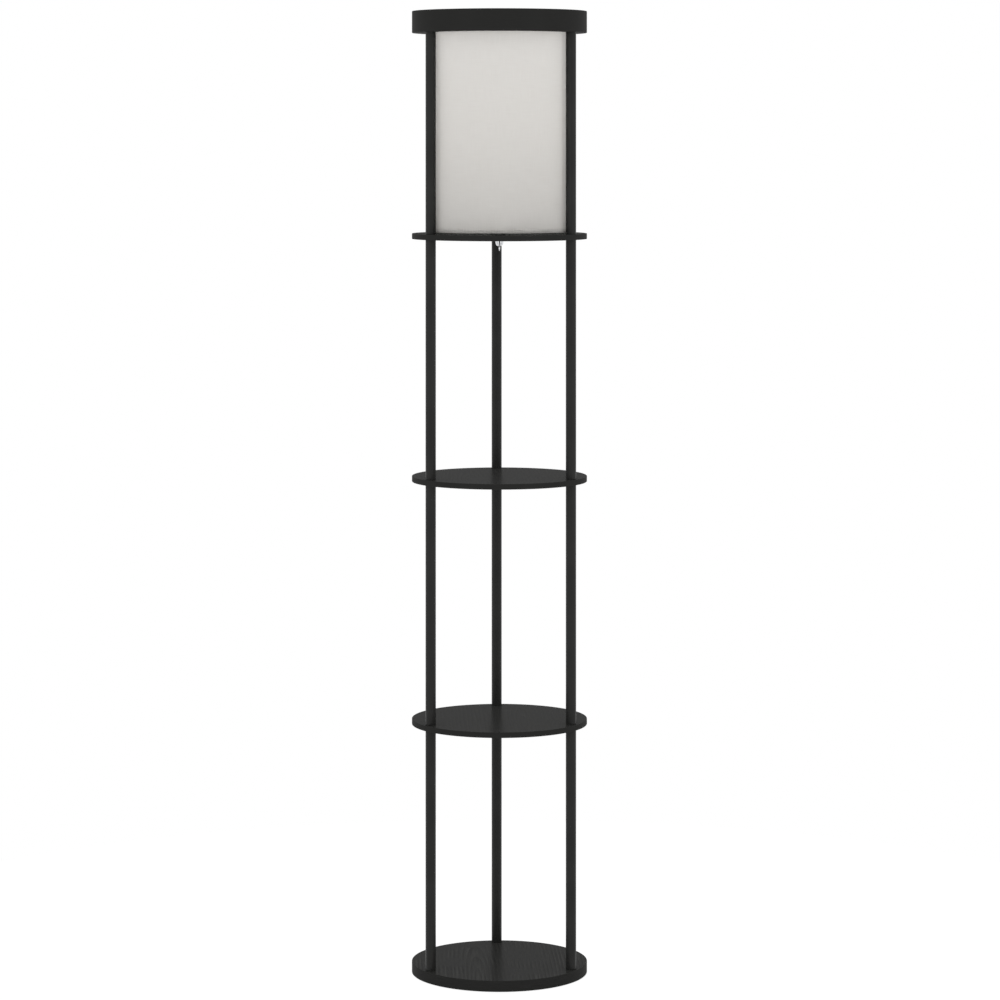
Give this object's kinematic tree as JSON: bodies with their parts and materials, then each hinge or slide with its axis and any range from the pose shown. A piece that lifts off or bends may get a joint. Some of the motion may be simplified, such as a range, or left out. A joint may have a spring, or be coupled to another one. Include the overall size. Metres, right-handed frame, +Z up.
{
  "type": "shelf floor lamp",
  "caption": "Round shelf floor lamp: drum shade between a top ring and a lamp shelf on slim posts, open display shelves below, pull-chain switch.",
  "frame": {"origin": "middle of the underside of the felt pads, on the axis of the round boards", "axes": "+Z up the lamp, +Y towards the single rear post, -Y the front between the two front posts"},
  "size_m": [0.29, 0.29, 1.592],
  "materials": {
    "veneer_black": "black-stained open grain, satin lacquer",
    "post_black": "smooth black semi-gloss enamel on steel tube",
    "zinc_fastener": "bright zinc plate",
    "black_plastic": "moulded black plastic",
    "pad_felt": "pressed felt",
    "shade_linen": "off-white plain weave on a lined drum",
    "shade_lining": "translucent white styrene",
    "wire_white": "white powder coat on wire",
    "switch_phenolic": "brown-black phenolic",
    "chrome_trim": "polished chrome plate",
    "contact_brass": "plain brass",
    "spring_steel": "drawn spring wire",
    "works_nylon": "natural nylon",
    "bracket_zinc": "zinc-plated strip",
    "holder_phenolic": "black phenolic",
    "bulb_cap_nickel": "nickel-plated rolled shell",
    "bulb_collar_white": "white moulded plastic",
    "bulb_opal": "opal polycarbonate diffuser",
    "grommet_rubber": "soft black rubber",
    "lead_pvc": "black sleeving"
  },
  "bodies": {
    "stand": {"base_board": "veneer_black", "base_bolts": "zinc_fastener", "bolt_washers": "zinc_fastener", "bracket_screws": "zinc_fastener", "cord_grommet": "grommet_rubber", "felt_pads": "pad_felt", "holder_body": "holder_phenolic", "holder_bracket": "bracket_zinc", "holder_cap": "holder_phenolic", "holder_clamp_ring": "holder_phenolic", "holder_contact": "contact_brass", "holder_rod": "zinc_fastener", "holder_screw_shell": "contact_brass", "holder_terminals": "contact_brass", "lamp_shelf": "veneer_black", "lamp_shelf_studs": "zinc_fastener", "link_lead": "lead_pvc", "lower_shelf": "veneer_black", "lower_shelf_studs": "zinc_fastener", "middle_shelf": "veneer_black", "middle_shelf_studs": "zinc_fastener", "post_back_1": "post_black", "post_back_2": "post_black", "post_back_3": "post_black", "post_back_4": "post_black", "post_inserts_1": "zinc_fastener", "post_inserts_2": "zinc_fastener", "post_inserts_3": "zinc_fastener", "post_inserts_4": "zinc_fastener", "post_left_1": "post_black", "post_left_2": "post_black", "post_left_3": "post_black", "post_left_4": "post_black", "post_right_1": "post_black", "post_right_2": "post_black", "post_right_3": "post_black", "post_right_4": "post_black", "rod_nut": "zinc_fastener", "shade_fabric": "shade_linen", "shade_frame": "wire_white", "shade_liner": "shade_lining", "shade_top_hoop": "wire_white", "switch_contacts": "contact_brass", "switch_dome_nut": "chrome_trim", "switch_housing": "switch_phenolic", "switch_lid": "switch_phenolic", "switch_neck": "chrome_trim", "switch_spring": "spring_steel", "top_bolts": "zinc_fastener", "top_plugs": "black_plastic", "top_ring": "veneer_black"},
    "pull": {"switch_slider": "works_nylon", "pull_chain": "chrome_trim"},
    "chain_end": {"pull_tip": "chrome_trim"},
    "rotor": {"switch_rotor": "works_nylon"},
    "bulb": {"bulb_contact": "contact_brass", "bulb_screw_cap": "bulb_cap_nickel", "bulb_collar": "bulb_collar_white", "bulb_globe": "bulb_opal"}
  },
  "joints": [
    {"name": "chain_pull", "type": "slide", "parent": "stand", "child": "pull", "axis": [0, 0, -1], "range_m": [0, 0.008], "stiffness_N_per_m": 400, "springref_m": -0.004, "deforming": ["switch_spring"]},
    {"name": "chain_end_swing", "type": "hinge", "parent": "pull", "child": "chain_end", "pos_m": [0, 0, 1.2013], "axis": [1, 0, 0], "range_deg": [-18, 18]},
    {"name": "rotor_turn", "type": "hinge", "parent": "stand", "child": "rotor", "pos_m": [0, 0, 1.249], "axis": [0, 0, 1], "range_deg": [0, 90]},
    {"name": "bulb_turn", "type": "hinge", "parent": "stand", "child": "bulb", "pos_m": [0, 0, 1.31], "axis": [0, 0, 1], "range_deg": [0, 900]}
  ],
  "couplings": [
    {"joint": "rotor_turn", "follows": "chain_pull", "rad_per_m": 196.35}
  ]
}
